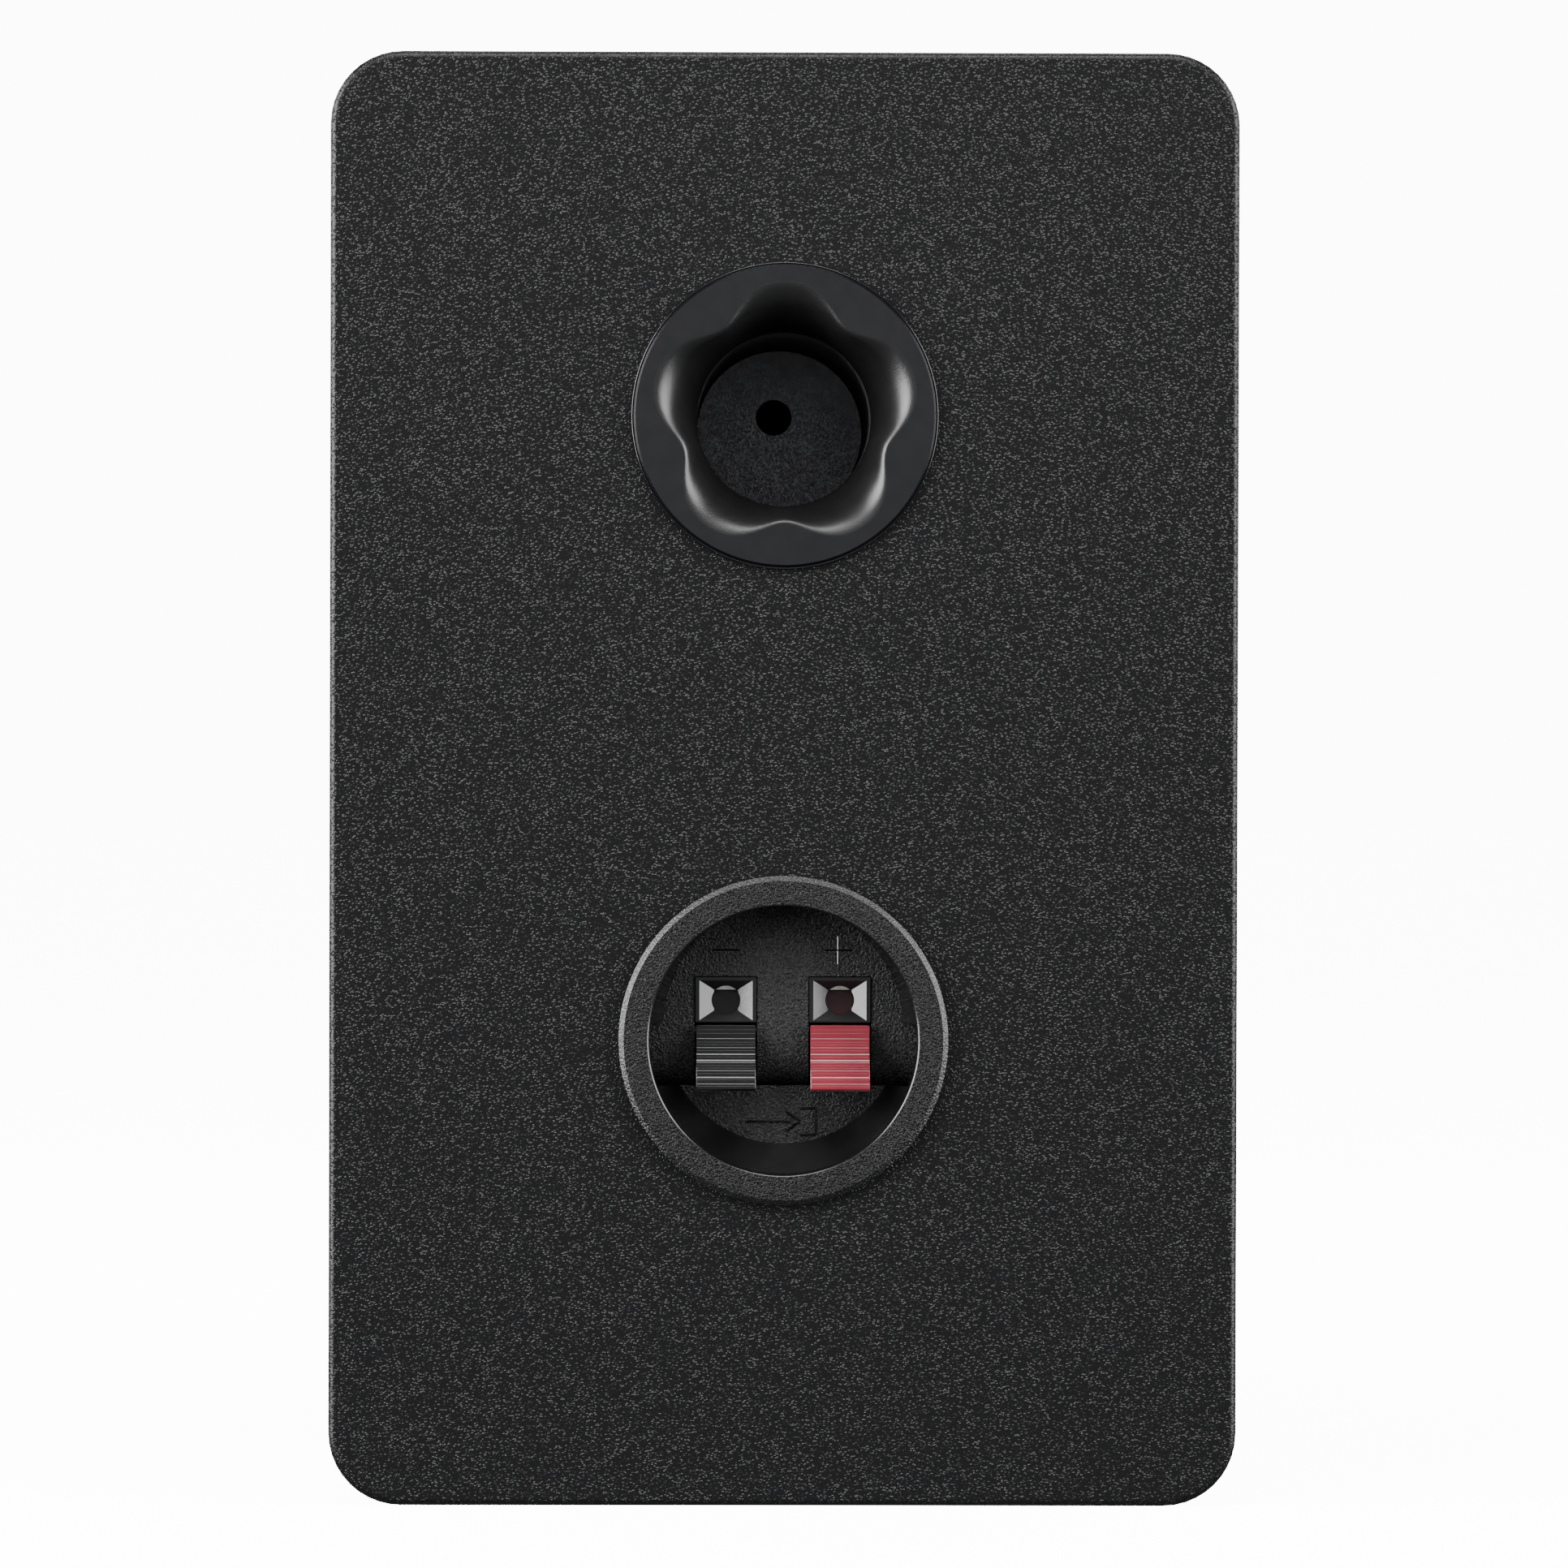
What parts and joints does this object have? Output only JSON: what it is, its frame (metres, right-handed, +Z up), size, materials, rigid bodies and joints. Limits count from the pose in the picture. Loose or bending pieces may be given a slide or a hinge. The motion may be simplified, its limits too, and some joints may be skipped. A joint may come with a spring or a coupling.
{
  "type": "bookshelf speaker",
  "caption": "Passive two-way box loudspeaker: rounded cabinet, woofer and dome tweeter in front, lobed reflex port and round push-lever terminal cup behind.",
  "frame": {"origin": "middle of the footprint, on the surface the cabinet stands on", "axes": "+Z up, -Y towards the listener (the baffle), +Y towards the back (port and terminals), X across the width"},
  "size_m": [0.15, 0.2, 0.24],
  "materials": {
    "painted_board": "textured black film on board, fine satin grain",
    "front_board": "smooth satin black",
    "moulded_black": "satin black moulding",
    "lever_black": "black, slight gloss",
    "lever_red": "red, slight gloss",
    "grey_paint": "satin dark grey",
    "black_screw": "black oxide",
    "soft_rubber": "matt black",
    "foam": "closed-cell foam",
    "cone_paper": "coated pressed fibre",
    "silk": "coated woven dome",
    "spider_cloth": "resin-stiffened weave",
    "former": "kapton on aluminium",
    "copper": "enamelled copper wire",
    "plated_steel": "zinc plated",
    "ferrite": "ground dark grey",
    "fibre_board": "brown phenolic sheet",
    "brass_tab": "tinned brass",
    "contact_metal": "nickel plated",
    "spring_steel": "bright",
    "circuit_board": "green resist",
    "nylon": "natural",
    "capacitor_film": "yellow sleeve",
    "capacitor_can": "dark blue sleeve",
    "ceramic": "white cement",
    "wire_black": "black insulation",
    "wire_red": "red insulation",
    "wadding": "soft white fibre"
  },
  "bodies": {
    "cabinet": {"cabinet_sleeve": "painted_board", "front_baffle": "front_board", "rear_panel": "painted_board", "side_wadding": "wadding", "woofer_trim_ring": "grey_paint", "woofer_screws": "black_screw", "woofer_gasket": "foam", "woofer_basket": "grey_paint", "woofer_surround": "soft_rubber", "woofer_spider": "spider_cloth", "woofer_top_plate": "plated_steel", "woofer_magnet": "ferrite", "woofer_yoke": "plated_steel", "woofer_terminal_board": "fibre_board", "woofer_terminal_tabs": "brass_tab", "woofer_tinsel_leads": "copper", "tweeter_face_plate": "moulded_black", "tweeter_screws": "black_screw", "tweeter_gasket": "foam", "tweeter_surround": "silk", "tweeter_top_plate": "plated_steel", "tweeter_magnet": "ferrite", "tweeter_yoke": "plated_steel", "tweeter_terminal_board": "fibre_board", "tweeter_terminal_tabs": "brass_tab", "port_flare": "moulded_black", "port_pipe": "moulded_black", "terminal_cup": "moulded_black", "terminal_gasket": "foam", "terminal_back_plate": "fibre_board", "wire_guide_negative": "moulded_black", "wire_guide_positive": "moulded_black", "lever_pin": "spring_steel", "lever_spring_negative": "spring_steel", "lever_spring_positive": "spring_steel", "contact_negative": "contact_metal", "contact_positive": "contact_metal", "crossover_board": "circuit_board", "crossover_spacers": "nylon", "crossover_screws": "plated_steel", "inductor_bobbin": "moulded_black", "inductor_winding": "copper", "tweeter_capacitor": "capacitor_film", "woofer_capacitor": "capacitor_can", "tweeter_resistor": "ceramic", "input_lead_negative": "wire_black", "input_lead_positive": "wire_red", "driver_leads_negative": "wire_black", "driver_leads_positive": "wire_red"},
    "lever_negative_body": {"lever_negative": "lever_black"},
    "lever_positive_body": {"lever_positive": "lever_red"},
    "woofer_moving": {"woofer_cone": "cone_paper", "woofer_dust_cap": "cone_paper", "woofer_coil_former": "former", "woofer_coil_winding": "copper"},
    "tweeter_moving": {"tweeter_dome": "silk", "tweeter_voice_coil": "copper"}
  },
  "joints": [
    {"name": "lever_negative_press", "type": "hinge", "parent": "cabinet", "child": "lever_negative_body", "pos_m": [0.00945, 0.078, 0.078], "axis": [-1, 0, 0], "range_deg": [0, 12], "stiffness_Nm_per_rad": 0.02, "springref_deg": -2.86, "deforming": ["lever_spring_negative"]},
    {"name": "lever_positive_press", "type": "hinge", "parent": "cabinet", "child": "lever_positive_body", "pos_m": [-0.00945, 0.078, 0.078], "axis": [-1, 0, 0], "range_deg": [0, 12], "stiffness_Nm_per_rad": 0.02, "springref_deg": -2.86, "deforming": ["lever_spring_positive"]},
    {"name": "woofer_travel", "type": "slide", "parent": "cabinet", "child": "woofer_moving", "axis": [0, -1, 0], "range_m": [-0.004, 0.004], "stiffness_N_per_m": 900, "deforming": ["woofer_surround", "woofer_spider", "woofer_tinsel_leads"]},
    {"name": "tweeter_travel", "type": "slide", "parent": "cabinet", "child": "tweeter_moving", "axis": [0, -1, 0], "range_m": [-0.0003, 0.0003], "stiffness_N_per_m": 100, "deforming": ["tweeter_surround"]}
  ]
}
